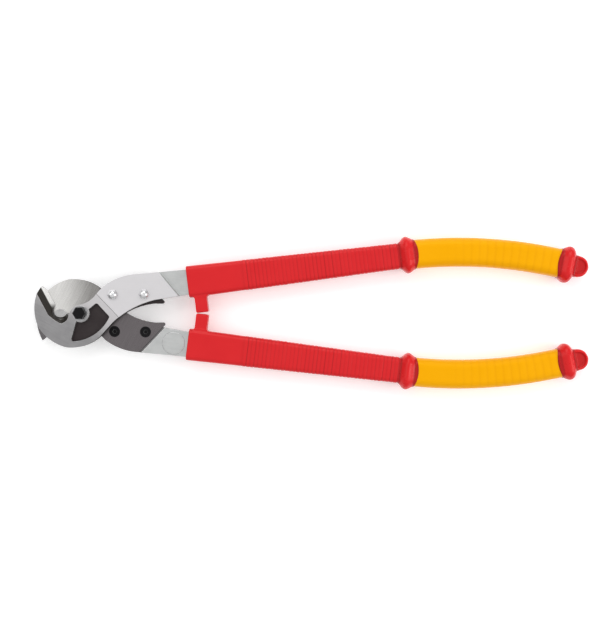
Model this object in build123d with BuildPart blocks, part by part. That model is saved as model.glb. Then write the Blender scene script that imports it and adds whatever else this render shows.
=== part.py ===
from build123d import *
import os
from math import cos, radians, sin

# Insulated two-hand cable cutter, lying flat with its jaws closed.
# Z is the axis of the jaw pivot, and z = 0 is the surface that the tool lies on.
# X runs from the pivot to the handle ends, and Y towards the upper handle.
# The tool is one half made twice: the lower half is the upper half turned by 180 degrees
# about the X axis of the shear plane, where the two jaws slide on each other.
# Heights are given from that plane, and places in plan from the pivot.

os.makedirs("parts", exist_ok=True)

# ---- Driving dimensions, in millimetres and degrees ----

# Jaws
jaw_thickness = 10.0        # shear plane to outer face
shear_gap = 0.1             # between the two jaws
edge_land = 0.4             # flat left along the cutting edge

# Arm of each jaw, which lies under the lap of the handle bar
arm_thickness = 5.5
seat_angle = 43.5           # direction in which the bar is laid onto the arm
seat_start = 26.8           # step where the bar butts against the jaw, from the pivot
seat_end = 74.0             # oblique end of the arm, from the pivot
seat_clearance = 0.25
arm_corner_radius = 2.0

# Pocket in the outer face of each jaw, around the pivot boss
boss_radius = 9.8
pocket_depth = 3.5
pocket_corner_radius = 2.4

# Screws that hold each jaw to its bar
screw_places = [(35.0, 20.0), (68.7, 20.5)]
screw_diameter = 6.0
screw_head_diameter = 12.0
screw_head_recess = 0.35
screw_head_angle = 90.0
screw_end = 0.8             # past the hexagon of its nut
screw_socket_width = 4.0
screw_socket_depth = 1.8
screw_clearance = 0.05
nut_width = 10.0
nut_hex_height = 2.6
nut_dome_height = 2.6
nut_dome_diameter = 9.4
nut_dome_bulge = (0.72, 0.6)    # share of its radius and height half-way up the dome
nut_dimple_diameter = 1.8

# Pivot
bush_diameter = 12.0
running_clearance = 0.03
end_float = 0.1
bolt_diameter = 8.0
bolt_clearance = 0.1
thread_clearance = 0.02
bolt_head_width = 13.0
bolt_head_height = 5.3
bolt_end = 0.4              # past its nut
pivot_nut_height = 4.0
washer_diameter = 17.0
washer_thickness = 1.5
hex_edge_break = 0.5

# Handle bars
bar_thickness = 9.0
bar_mouth_width = 27.4
bar_grip_width = 20.0
bar_tail = 12.0             # past the bend of the handle
bar_step = 92.8             # end of the lap, from the pivot
bar_step_angle = 40.0
bar_step_slope = 1.2
bar_shoulder_slope = 2.2
pad_radius = 11.9           # round pad forged on the bar's inner face
pad_height = 0.5
pad_place = (99.8, 32.4)

# Handle line: straight and splayed, then one long bend, then straight again
mouth = (115.0, 33.8)       # where the bar enters the sleeve
splay = 7.0
straight_length = 237.0
bend_radius = 490.0
bend_angle = 18.0

# Insulation of the handles
sleeve_side_wall = 3.5      # beside the bar
sleeve_mouth_cover = 4.0    # above and below the bar, where the bar enters
sleeve_guard_cover = 4.5    # the same at the guard collar
sleeve_edge_radius = 5.0
sleeve_lip = 4.0            # outer sleeve past the end of the inner layer
inner_wall = 1.4
inner_edge_radius = 2.0
rib_start = 61.2
rib_pitch = 4.22
rib_width = 2.0
rib_height = 0.4
grip_side_wall = 5.6        # beside the bar
grip_cover = 7.0            # above and below the bar
grip_edge_radius = 9.0
grip_before_bend = 1.5      # straight part of the grip, from the shoulder of the collar
grip_tail = 20.0            # inner layer past the bend, inside the end cap

# Stop on each sleeve: the two meet when the jaws are closed
stop_station = 12.1
stop_width = 13.0
stop_core_width = 7.0
stop_wall = 4.0
stop_corner_radius = 2.0
stop_gap = 0.6

# Guard collar and end cap
ridge_rise = 4.4            # ridge beyond the grip, to each side
ridge_shoulder = 4.2
ridge_half_length = 8.4
ridge_shares = (0.0, 0.44, 1.0, 0.44, 0.0)      # height at its feet, shoulders and top
skin = 0.7                  # thinnest edge of collar and cap
collar_lip = 12.0           # collar's lip over the grip, from its ridge
cap_lip = 12.0
lip_bulge = 5.5
cap_ridge = 24.0            # ridge of the cap, past the bend
knob_length = 23.0          # from the ridge to the tip
knob_base_width = 26.5
knob_tip_radius = 11.5
knob_thickness = 15.0
knob_rim = 3.4
knob_recess = 2.5
trim_reach = 40.0           # cutter for the wavy lips, beyond collar and cap

# Outline of a jaw in plan, from the tip of its beak round the outside to the pivot boss
beak_tip = (-43.4, 29.5)
beak_left = (-49.6, 8.0)
chin = (-46.0, -13.5)
belly = (-32.7, -28.6)
keel = (-15.0, -36.9)
heel = (8.3, -33.4)
heel_end = (24.6, -21.3)
arm_foot = (35.5, -9.3)
arm_low = (57.3, 4.8)
arm_tail = (79.1, 10.3)
arm_crown = (41.0, 38.2)
arm_shoulder = (24.6, 28.9)
neck = (16.9, 20.5)
neck_hollow = (7.2, 11.9)
boss_top = (-3.5, 8.6)
boss_side = (-8.6, 5.2)
boss_end = (-11.2, 1.4)
arm_end_sides = (56.3, 11.6)    # corners of the oblique arm end, to the right of the seat line

# Cutting edge, from the pivot boss round the throat to the beak
throat_exit = (-17.6, -1.2)
throat_turn = (-19.9, -3.4)
throat_bottom = (-24.1, -4.4)
throat_side = (-30.9, 0.5)
edge_foot = (-29.1, 8.7)
beak_shoulder = (-38.2, 25.7)

# Foot of the edge's bevel on the jaw's outer face
bevel_exit = (-12.6, -1.5)
bevel_turn = (-15.6, -8.6)
bevel_bottom = (-21.0, -11.4)
bevel_side = (-28.9, -6.9)
bevel_foot = (-35.2, -1.4)
bevel_reach = 60.0          # cutter for the bevel, past the beak

# Pocket on the outer face
pocket_apex = (17.5, 11.3)
pocket_corner = (31.5, -3.8)
pocket_belly = (16.9, -21.8)
pocket_back = (-10.6, -30.6)
boss_angles = (-118.0, -45.0, 25.0)

# Underside of the lap, from the jaw to where it runs into the bar
lap_low = (58.0, 6.2)
lap_low_end = (80.0, 14.3)

# ---- Values worked out from them ----

far = 2 * straight_length + bend_radius     # reaches past the whole tool
head_seat = jaw_thickness + end_float + washer_thickness
pivot_foot = head_seat + pivot_nut_height + bolt_end
nut_top = jaw_thickness + nut_hex_height + nut_dome_height
shear_height = max(pivot_foot, nut_top)     # shear plane above the floor
ridge_thickness = 2 * shear_height          # ridges and bolt end stand on one plane
grip_width = bar_grip_width + 2 * grip_side_wall
grip_thickness = bar_thickness + 2 * grip_cover
ridge_width = grip_width + 2 * ridge_rise
grip_start = straight_length - grip_before_bend
collar_station = grip_start + ridge_shoulder
sleeve_length = collar_station - ridge_half_length
hole_radius = screw_diameter / 2 + screw_clearance
flip_axis = Axis((0, 0, shear_height), (1, 0, 0))

along = Vector(cos(radians(splay)), sin(radians(splay)))
across = Vector(-sin(radians(splay)), cos(radians(splay)))
bend_centre = Vector(*mouth) + along * straight_length - across * bend_radius
tail_heading = splay - bend_angle
tail_along = Vector(cos(radians(tail_heading)), sin(radians(tail_heading)))
tail_across = Vector(-sin(radians(tail_heading)), cos(radians(tail_heading)))


def level(height):
    """Horizontal plane at a height above the shear plane."""
    return Plane.XY.offset(shear_height + height)


def beside(station, side=0.0):
    """Point at a station of the straight handle line, and to its left."""
    return Vector(*mouth) + along * station + across * side


def beside_tail(station, side=0.0):
    """Point at a station past the bend of the handle, and to its left."""
    return bend_centre + tail_across * (bend_radius + side) + tail_along * station


def beside_bend(share, side=0.0):
    """Point at a share of the handle's bend, and to its left."""
    turn = radians(90 + splay - share * bend_angle)
    return bend_centre + Vector(cos(turn), sin(turn)) * (bend_radius + side)


def lengthwise(point, heading):
    """Horizontal plane in the middle of the handle, with its x axis along the handle."""
    return Plane(origin=(point.X, point.Y, shear_height), x_dir=(heading.X, heading.Y, 0), z_dir=(0, 0, 1))


def crosswise(point, heading):
    """Plane across the handle, with its x axis to the right, its y axis up and z along it."""
    origin = (point.X, point.Y, shear_height)
    return Plane(origin=origin, x_dir=(heading.Y, -heading.X, 0), z_dir=(-heading.X, -heading.Y, 0))


def upright(angle, place=(0.0, 0.0)):
    """Upright plane through a place, with x in the direction of an angle and y up."""
    turn = radians(angle)
    origin = (place[0], place[1], shear_height)
    return Plane(origin=origin, x_dir=(cos(turn), sin(turn), 0), z_dir=(sin(turn), -cos(turn), 0))


def seat_point(distance, side):
    """Point in plan at a distance along the seat direction, and to its left."""
    turn = radians(seat_angle)
    return (distance * cos(turn) - side * sin(turn), distance * sin(turn) + side * cos(turn))


def around_boss(angle):
    """Point on the edge of the pivot boss."""
    return (boss_radius * cos(radians(angle)), boss_radius * sin(radians(angle)))


def taper(start, end, station, length):
    """Size at a station of a straight taper."""
    return start + (end - start) * station / length


def bar_width(station):
    """Width of the handle bar at a station of its straight part."""
    return taper(bar_mouth_width, bar_grip_width, station, straight_length)


def sleeve_section(station, extra=0.0):
    """Rounded section of the outer sleeve, made larger all round by extra."""
    cover = taper(sleeve_mouth_cover, sleeve_guard_cover, station, sleeve_length)
    width = bar_width(station) + 2 * sleeve_side_wall
    thickness = bar_thickness + 2 * cover
    return RectangleRounded(width + 2 * extra, thickness + 2 * extra, sleeve_edge_radius + extra)


def grip_section(extra=0.0):
    """Rounded section of the grip, made larger all round by extra."""
    return RectangleRounded(grip_width + 2 * extra, grip_thickness + 2 * extra, grip_edge_radius + extra)


def ridge_section(share):
    """Rounded section of a guard ridge, from its foot on the grip at 0 to its top at 1."""
    width = taper(grip_width + 2 * skin, ridge_width, share, 1)
    thickness = taper(grip_thickness + 2 * skin, ridge_thickness, share, 1)
    radius = taper(grip_edge_radius + skin, grip_edge_radius + ridge_rise, share, 1)
    return RectangleRounded(width, thickness, radius)


def knob_outline(inset):
    """Plan of the cap's knob, from its ridge to its rounded tip."""
    tip_radius = knob_tip_radius - inset
    tip_centre = knob_length - knob_tip_radius
    base = ridge_half_length if inset else 0
    with BuildSketch(mode=Mode.PRIVATE) as plan:
        with Locations((tip_centre, 0)):
            Circle(tip_radius)
        with BuildLine():
            half_base = knob_base_width / 2 - inset
            Polyline(
                (base, half_base),
                (base, -half_base),
                (tip_centre, -tip_radius),
                (tip_centre, tip_radius),
                close=True,
            )
        make_face()
    return add(plan.sketch)


tail_corner, crown_corner = [seat_point(seat_end, -side) for side in arm_end_sides]

# ---- Jaws ----

with BuildPart() as upper_jaw:
    with BuildSketch(level(shear_gap / 2)):
        with BuildLine():
            ThreePointArc(beak_tip, beak_left, chin)
            ThreePointArc(chin, belly, keel)
            ThreePointArc(keel, heel, heel_end)
            Line(heel_end, arm_foot)
            ThreePointArc(arm_foot, arm_low, arm_tail)
            Polyline(arm_tail, tail_corner, crown_corner)
            ThreePointArc(crown_corner, arm_crown, arm_shoulder)
            Line(arm_shoulder, neck)
            ThreePointArc(neck, neck_hollow, boss_top)
            ThreePointArc(boss_top, boss_side, boss_end)
            Line(boss_end, throat_exit)
            ThreePointArc(throat_exit, throat_turn, throat_bottom)
            ThreePointArc(throat_bottom, throat_side, edge_foot)
            Polyline(edge_foot, beak_shoulder, beak_tip)
        make_face()
    extrude(amount=jaw_thickness - shear_gap / 2)
    tail_edge = upper_jaw.edges().filter_by(Axis.Z).sort_by_distance((*tail_corner, shear_height))[0]
    fillet(tail_edge, arm_corner_radius)

    # Rebate that takes the lap of the handle bar
    with BuildSketch(upright(seat_angle)):
        with Locations((seat_start, arm_thickness)):
            Rectangle(far, jaw_thickness, align=(Align.MIN, Align.MIN))
    extrude(amount=far, both=True, mode=Mode.SUBTRACT)

    # Bevel of the cutting edge, from the land at the shear plane up to the outer face
    edge_way = (Vector(*beak_shoulder) - Vector(*edge_foot)).normalized() * bevel_reach
    open_side = (boss_end[0], beak_tip[1] + bevel_reach)
    with BuildSketch(level(edge_land)):
        with BuildLine():
            ThreePointArc(throat_exit, throat_turn, throat_bottom)
            ThreePointArc(throat_bottom, throat_side, edge_foot)
            Polyline(edge_foot, Vector(*edge_foot) + edge_way, open_side, boss_end, throat_exit)
        make_face()
    with BuildSketch(level(jaw_thickness)):
        with BuildLine():
            ThreePointArc(bevel_exit, bevel_turn, bevel_bottom)
            ThreePointArc(bevel_bottom, bevel_side, bevel_foot)
            Polyline(bevel_foot, Vector(*bevel_foot) + edge_way, open_side, boss_end, bevel_exit)
        make_face()
    loft(ruled=True, mode=Mode.SUBTRACT)

    # Pocket around the boss
    with BuildSketch(level(jaw_thickness)):
        with BuildLine():
            boss_low, boss_middle, boss_high = [around_boss(angle) for angle in boss_angles]
            Line(pocket_apex, pocket_corner)
            ThreePointArc(pocket_corner, pocket_belly, pocket_back)
            Line(pocket_back, boss_low)
            ThreePointArc(boss_low, boss_middle, boss_high)
            Line(boss_high, pocket_apex)
        pocket = make_face()
        outer_corners = pocket.vertices().sort_by_distance((0, 0))[2:]
        fillet(outer_corners, pocket_corner_radius)
    extrude(amount=-pocket_depth, mode=Mode.SUBTRACT)

    # Pivot bore, and countersunk screw holes sunk from the shear plane
    with Locations(level(jaw_thickness).location):
        Hole(bush_diameter / 2 + running_clearance)
    head_level = level(screw_head_recess).location
    from_below = Location((0, 0, 0), (180, 0, 0))
    with Locations(*[head_level * Location(place) * from_below for place in screw_places]):
        CounterSinkHole(
            radius=hole_radius,
            counter_sink_radius=screw_head_diameter / 2 + screw_clearance,
            counter_sink_angle=screw_head_angle,
        )

# ---- Handle bars: lap on the arm, step, main part under the insulation, core of the stop ----

stop_foot = beside(stop_station - stop_width / 2)
corner_lift = stop_corner_radius * (cos(radians(splay)) + sin(radians(splay)) - 1)
stop_reach = (stop_foot.Y + corner_lift - stop_gap / 2) / cos(radians(splay))

with BuildPart() as upper_handle_bar:
    with BuildSketch(level(-bar_thickness / 2)):
        with BuildLine():
            mouth_side = bar_width(0) / 2
            bend_side = bar_grip_width / 2
            ThreePointArc(arm_foot, lap_low, lap_low_end)
            Polyline(lap_low_end, beside(0, -mouth_side), beside(straight_length, -bend_side))
            ThreePointArc(*[beside_bend(share, -bend_side) for share in (0, 0.5, 1)])
            Polyline(
                beside_tail(0, -bend_side),
                beside_tail(bar_tail, -bend_side),
                beside_tail(bar_tail, bend_side),
                beside_tail(0, bend_side),
            )
            ThreePointArc(*[beside_bend(share, bend_side) for share in (1, 0.5, 0)])
            Polyline(beside(straight_length, bend_side), beside(0, mouth_side), crown_corner)
            ThreePointArc(crown_corner, arm_crown, arm_shoulder)
            Polyline(arm_shoulder, neck, arm_foot)
        make_face()
    extrude(amount=bar_thickness / 2 + jaw_thickness)

    # Seen along the seat: lap over the arm, shoulder at the arm's oblique end
    with BuildSketch(upright(seat_angle)):
        with BuildLine():
            lap_end = seat_start + seat_clearance
            shoulder = seat_end + seat_clearance
            Polyline(
                (lap_end, arm_thickness),
                (lap_end, jaw_thickness),
                (far, jaw_thickness),
                (far, -bar_thickness / 2),
                (shoulder + bar_shoulder_slope, -bar_thickness / 2),
                (shoulder, 0),
                (shoulder, arm_thickness),
                close=True,
            )
        make_face()
    extrude(amount=far, both=True, mode=Mode.INTERSECT)

    # Step from the lap down to the main part
    with BuildSketch(upright(bar_step_angle)):
        with BuildLine():
            Polyline(
                (bar_step, jaw_thickness),
                (bar_step + bar_step_slope, bar_thickness / 2),
                (far, bar_thickness / 2),
                (far, jaw_thickness),
                close=True,
            )
        make_face()
    extrude(amount=far, both=True, mode=Mode.SUBTRACT)

    # Core of the stop, and the round pad on the inner face
    with BuildSketch(lengthwise(beside(stop_station), along).offset(-bar_thickness / 2)):
        Rectangle(stop_core_width, stop_reach - stop_wall, align=(Align.CENTER, Align.MAX))
    extrude(amount=bar_thickness)
    with BuildSketch(level(-bar_thickness / 2)):
        with Locations(pad_place):
            Circle(pad_radius)
    extrude(amount=-pad_height)

    with Locations(*[level(jaw_thickness).location * Location(place) for place in screw_places]):
        Hole(hole_radius)

# ---- Screws with domed nuts, two to each half ----

with BuildPart() as upper_jaw_screws:
    for place in screw_places:
        with BuildSketch(upright(0, place)):
            with BuildLine():
                head_side = screw_head_diameter / 2
                shank_side = screw_diameter / 2
                screw_tip = jaw_thickness + nut_hex_height + screw_end
                Polyline(
                    (0, screw_head_recess),
                    (head_side, screw_head_recess),
                    (shank_side, screw_head_recess + head_side - shank_side),
                    (shank_side, screw_tip),
                    (0, screw_tip),
                    close=True,
                )
            make_face()
        revolve(axis=Axis((*place, 0), (0, 0, 1)))
    with BuildSketch(level(screw_head_recess)):
        with Locations(*screw_places):
            RegularPolygon(screw_socket_width / 2, 6, major_radius=False)
    extrude(amount=screw_socket_depth, mode=Mode.SUBTRACT)

with BuildPart() as upper_screw_nuts:
    with BuildSketch(level(jaw_thickness)):
        with Locations(*screw_places):
            RegularPolygon(nut_width / 2, 6, major_radius=False)
    extrude(amount=nut_hex_height)
    chamfer(upper_screw_nuts.edges().group_by(Axis.Z)[-1], hex_edge_break)
    for place in screw_places:
        with BuildSketch(upright(0, place)):
            with BuildLine():
                dome_foot = jaw_thickness + nut_hex_height
                dome_side = nut_dome_diameter / 2
                dimple_side = nut_dimple_diameter / 2
                bulge = (dome_side * nut_dome_bulge[0], dome_foot + nut_dome_height * nut_dome_bulge[1])
                ThreePointArc((dome_side, dome_foot), bulge, (dimple_side, nut_top))
                Line((dimple_side, nut_top), (0, nut_top - dimple_side))
                Polyline((0, nut_top - dimple_side), (0, dome_foot), (dome_side, dome_foot))
            make_face()
        revolve(axis=Axis((*place, 0), (0, 0, 1)))
    with BuildSketch(level(jaw_thickness)):
        with Locations(*screw_places):
            Circle(screw_diameter / 2 + thread_clearance)
    extrude(amount=nut_hex_height + screw_end + thread_clearance, mode=Mode.SUBTRACT)

# ---- Pivot: bolt with a clamped bush that the jaws turn on ----

with BuildPart() as pivot_bush:
    with BuildSketch(level(-jaw_thickness - end_float)):
        Circle(bush_diameter / 2)
        Circle(bolt_diameter / 2 + bolt_clearance, mode=Mode.SUBTRACT)
    extrude(amount=2 * (jaw_thickness + end_float))

with BuildPart() as upper_pivot_washer:
    with BuildSketch(level(jaw_thickness + end_float)):
        Circle(washer_diameter / 2)
        Circle(bolt_diameter / 2 + bolt_clearance, mode=Mode.SUBTRACT)
    extrude(amount=washer_thickness)

with BuildPart() as pivot_bolt:
    with BuildSketch(level(head_seat)):
        RegularPolygon(bolt_head_width / 2, 6, major_radius=False)
    extrude(amount=bolt_head_height)
    chamfer(pivot_bolt.edges().group_by(Axis.Z)[-1], hex_edge_break)
    with BuildSketch(level(-pivot_foot)):
        Circle(bolt_diameter / 2)
    extrude(amount=pivot_foot + head_seat)

with BuildPart() as pivot_nut:
    with BuildSketch(level(-head_seat)):
        RegularPolygon(bolt_head_width / 2, 6, major_radius=False)
    extrude(amount=-pivot_nut_height)
    chamfer(pivot_nut.edges().group_by(Axis.Z)[0], hex_edge_break)
    with BuildSketch(level(-head_seat)):
        Circle(bolt_diameter / 2 + thread_clearance)
    extrude(amount=-pivot_nut_height, mode=Mode.SUBTRACT)

# ---- Inner insulating layer: thin under the sleeve, and full size where it is the grip ----

with BuildPart() as upper_grip:
    for station in (sleeve_lip, grip_start):
        with BuildSketch(crosswise(beside(station), along)):
            width = bar_width(station) + 2 * inner_wall
            RectangleRounded(width, bar_thickness + 2 * inner_wall, inner_edge_radius)
    loft()
    with BuildSketch(crosswise(beside(grip_start), along)):
        grip_section()
    extrude(amount=-(straight_length - grip_start))
    bend_face = crosswise(beside(straight_length), along)
    with BuildSketch(bend_face):
        grip_section()
    revolve(axis=Axis((bend_centre.X, bend_centre.Y, 0), (0, 0, -1)), revolution_arc=bend_angle)
    with BuildSketch(crosswise(beside_tail(0), tail_along)):
        grip_section()
    extrude(amount=-grip_tail)
    add(upper_handle_bar.part, mode=Mode.SUBTRACT)

# ---- Outer sleeve with cross ribs and its stop ----

with BuildPart() as upper_sleeve:
    for station in (0, sleeve_length):
        with BuildSketch(crosswise(beside(station), along)):
            sleeve_section(station)
    loft()
    with BuildSketch(lengthwise(beside(stop_station), along).offset(-stop_width / 2)):
        stop = Rectangle(stop_width, stop_reach, align=(Align.CENTER, Align.MAX))
        fillet(stop.vertices().group_by(Axis.Y)[0], stop_corner_radius)
    extrude(amount=stop_width)
    rib_count = int((sleeve_length - rib_start) / rib_pitch)
    for rib in range(rib_count):
        station = rib_start + rib * rib_pitch
        with BuildSketch(crosswise(beside(station), along)):
            sleeve_section(station, rib_height)
    extrude(amount=-rib_width)
    add(upper_grip.part, mode=Mode.SUBTRACT)
    add(upper_handle_bar.part, mode=Mode.SUBTRACT)

# ---- Guard collar and end cap: a rounded ridge with a lip over the grip ----

ridge_steps = (-ridge_half_length, -ridge_shoulder, 0, ridge_shoulder, ridge_half_length)

with BuildPart() as upper_guard_collar:
    with BuildSketch(crosswise(beside(sleeve_length), along)):
        sleeve_section(sleeve_length, skin)
    for step, share in list(zip(ridge_steps, ridge_shares))[1:]:
        with BuildSketch(crosswise(beside(collar_station + step), along)):
            ridge_section(share)
    loft()
    with BuildSketch(crosswise(beside(collar_station), along)):
        grip_section(skin)
    extrude(amount=-collar_lip)
    with BuildSketch(lengthwise(beside(collar_station), along).offset(-shear_height)):
        with BuildLine():
            lip_side = collar_lip - lip_bulge
            lip_half = ridge_width / 2
            ThreePointArc((lip_side, -lip_half), (collar_lip, 0), (lip_side, lip_half))
            Polyline(
                (lip_side, lip_half),
                (lip_side, trim_reach),
                (-trim_reach, trim_reach),
                (-trim_reach, -trim_reach),
                (lip_side, -trim_reach),
                (lip_side, -lip_half),
            )
        make_face()
    extrude(amount=2 * shear_height, mode=Mode.INTERSECT)
    add(upper_grip.part, mode=Mode.SUBTRACT)
    add(upper_handle_bar.part, mode=Mode.SUBTRACT)

with BuildPart() as upper_end_cap:
    for step, share in zip(ridge_steps, ridge_shares):
        with BuildSketch(crosswise(beside_tail(cap_ridge + step), tail_along)):
            ridge_section(share)
    loft()
    with BuildSketch(crosswise(beside_tail(cap_ridge - cap_lip), tail_along)):
        grip_section(skin)
    extrude(amount=-cap_lip)
    with BuildSketch(lengthwise(beside_tail(cap_ridge), tail_along).offset(-shear_height)):
        with BuildLine():
            lip_side = lip_bulge - cap_lip
            lip_half = ridge_width / 2
            ThreePointArc((lip_side, -lip_half), (-cap_lip, 0), (lip_side, lip_half))
            Polyline(
                (lip_side, lip_half),
                (lip_side, trim_reach),
                (trim_reach, trim_reach),
                (trim_reach, -trim_reach),
                (lip_side, -trim_reach),
                (lip_side, -lip_half),
            )
        make_face()
    extrude(amount=2 * shear_height, mode=Mode.INTERSECT)

    # Flat knob with a sunken middle on both faces
    knob_plane = lengthwise(beside_tail(cap_ridge), tail_along)
    with BuildSketch(knob_plane.offset(-knob_thickness / 2)):
        knob_outline(0)
    extrude(amount=knob_thickness)
    for face in (-1, 1):
        with BuildSketch(knob_plane.offset(face * knob_thickness / 2)):
            knob_outline(knob_rim)
        extrude(amount=-face * knob_recess, mode=Mode.SUBTRACT)
    add(upper_grip.part, mode=Mode.SUBTRACT)
    add(upper_handle_bar.part, mode=Mode.SUBTRACT)

# ---- Lower half, and files ----

halves = {
    "jaw": upper_jaw,
    "handle_bar": upper_handle_bar,
    "jaw_screws": upper_jaw_screws,
    "screw_nuts": upper_screw_nuts,
    "grip": upper_grip,
    "sleeve": upper_sleeve,
    "guard_collar": upper_guard_collar,
    "end_cap": upper_end_cap,
    "pivot_washer": upper_pivot_washer,
}
pieces = {"pivot_bush": pivot_bush, "pivot_bolt": pivot_bolt, "pivot_nut": pivot_nut}
for name, upper in halves.items():
    with BuildPart() as lower:
        add(upper.part.rotate(flip_axis, 180))
    pieces[f"upper_{name}"] = upper
    pieces[f"lower_{name}"] = lower

for name, piece in pieces.items():
    piece.part.label = name
    export_step(piece.part, f"parts/{name}.step")
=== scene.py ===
"""Looks of a two-hand insulated cable cutter.

Forged jaws, plated handle bars, and dipped sleeves and grips, all on the sizes of the CAD parts.
"""

import logging
from dataclasses import dataclass, field
from enum import Enum
from math import copysign, cos, hypot, pi, radians, sin, sqrt, tau
from typing import Callable

import bmesh
import bpy
from mathutils import Matrix, Vector


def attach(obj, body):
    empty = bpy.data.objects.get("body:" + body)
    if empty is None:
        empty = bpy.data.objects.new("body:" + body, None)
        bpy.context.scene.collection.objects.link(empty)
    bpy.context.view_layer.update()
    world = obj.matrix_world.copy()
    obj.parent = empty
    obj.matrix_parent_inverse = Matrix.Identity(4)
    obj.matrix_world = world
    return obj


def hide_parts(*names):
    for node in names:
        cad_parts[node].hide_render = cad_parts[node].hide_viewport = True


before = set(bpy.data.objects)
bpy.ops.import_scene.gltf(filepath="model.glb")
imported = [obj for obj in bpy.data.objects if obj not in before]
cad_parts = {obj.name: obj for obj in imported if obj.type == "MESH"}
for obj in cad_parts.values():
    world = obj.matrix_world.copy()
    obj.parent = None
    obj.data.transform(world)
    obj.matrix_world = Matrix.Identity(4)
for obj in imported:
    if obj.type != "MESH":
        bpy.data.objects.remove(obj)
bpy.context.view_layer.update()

log = logging.getLogger("cable_cutter")

MM = 0.001
SHEAR = 16.0 * MM           # height of the plane where the two jaws slide on each other
MARGIN = 0.01 * MM          # allowed for rounding when places are compared
LEAST_RADIUS = 0.1 * MM     # of a section's corners
CORNER_ROOM = 0.05 * MM     # least flat length left beside a corner
FINE_LINES = (120, 5200, 5200)      # waves per metre along and across the grinding lines
BROAD_LINES = (40, 700, 700)
WHITE = (1.0, 1.0, 1.0, 1.0)
Colour = tuple[float, float, float]
Span = tuple[float, float]
Ring = list[Vector]


class Half(Enum):
    """The two halves of the tool. The lower one is the upper one turned over about the X axis."""

    UPPER = "upper"
    LOWER = "lower"

    @property
    def body(self) -> str:
        """Name of the rigid body that this half belongs to."""
        return f"{self.value}_half"

    def node(self, part: str) -> str:
        """Name of this half's node of a part."""
        return f"{self.value}_{part}"

    def settle(self, mesh: bmesh.types.BMesh) -> None:
        """Turns a mesh made for the upper half into this half's place.

        Args:
            mesh: the mesh to turn.
        """
        if self is Half.LOWER:
            turn = Matrix.Rotation(pi, 3, "X")
            bmesh.ops.rotate(mesh, cent=(0, 0, SHEAR), matrix=turn, verts=mesh.verts)

    def own(self, vector: Vector, is_place: bool = True) -> Vector:
        """Gives a place or direction as the upper half would have it.

        Args:
            vector: place in the row frame, in metres, or a direction.
            is_place: False for a direction.

        Returns:
            The same vector, turned over for the lower half.
        """
        if self is Half.UPPER:
            return vector.copy()
        lift = 2 * SHEAR if is_place else 0.0
        return Vector((vector.x, -vector.y, lift - vector.z))


def smooth_step(value: float, low: float, high: float) -> float:
    """Eases from 0 at low to 1 at high."""
    share = min(1.0, max(0.0, (value - low) / (high - low)))
    return share * share * (3 - 2 * share)


# ---------------------------------------------------------------- Shader nodes


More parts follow.
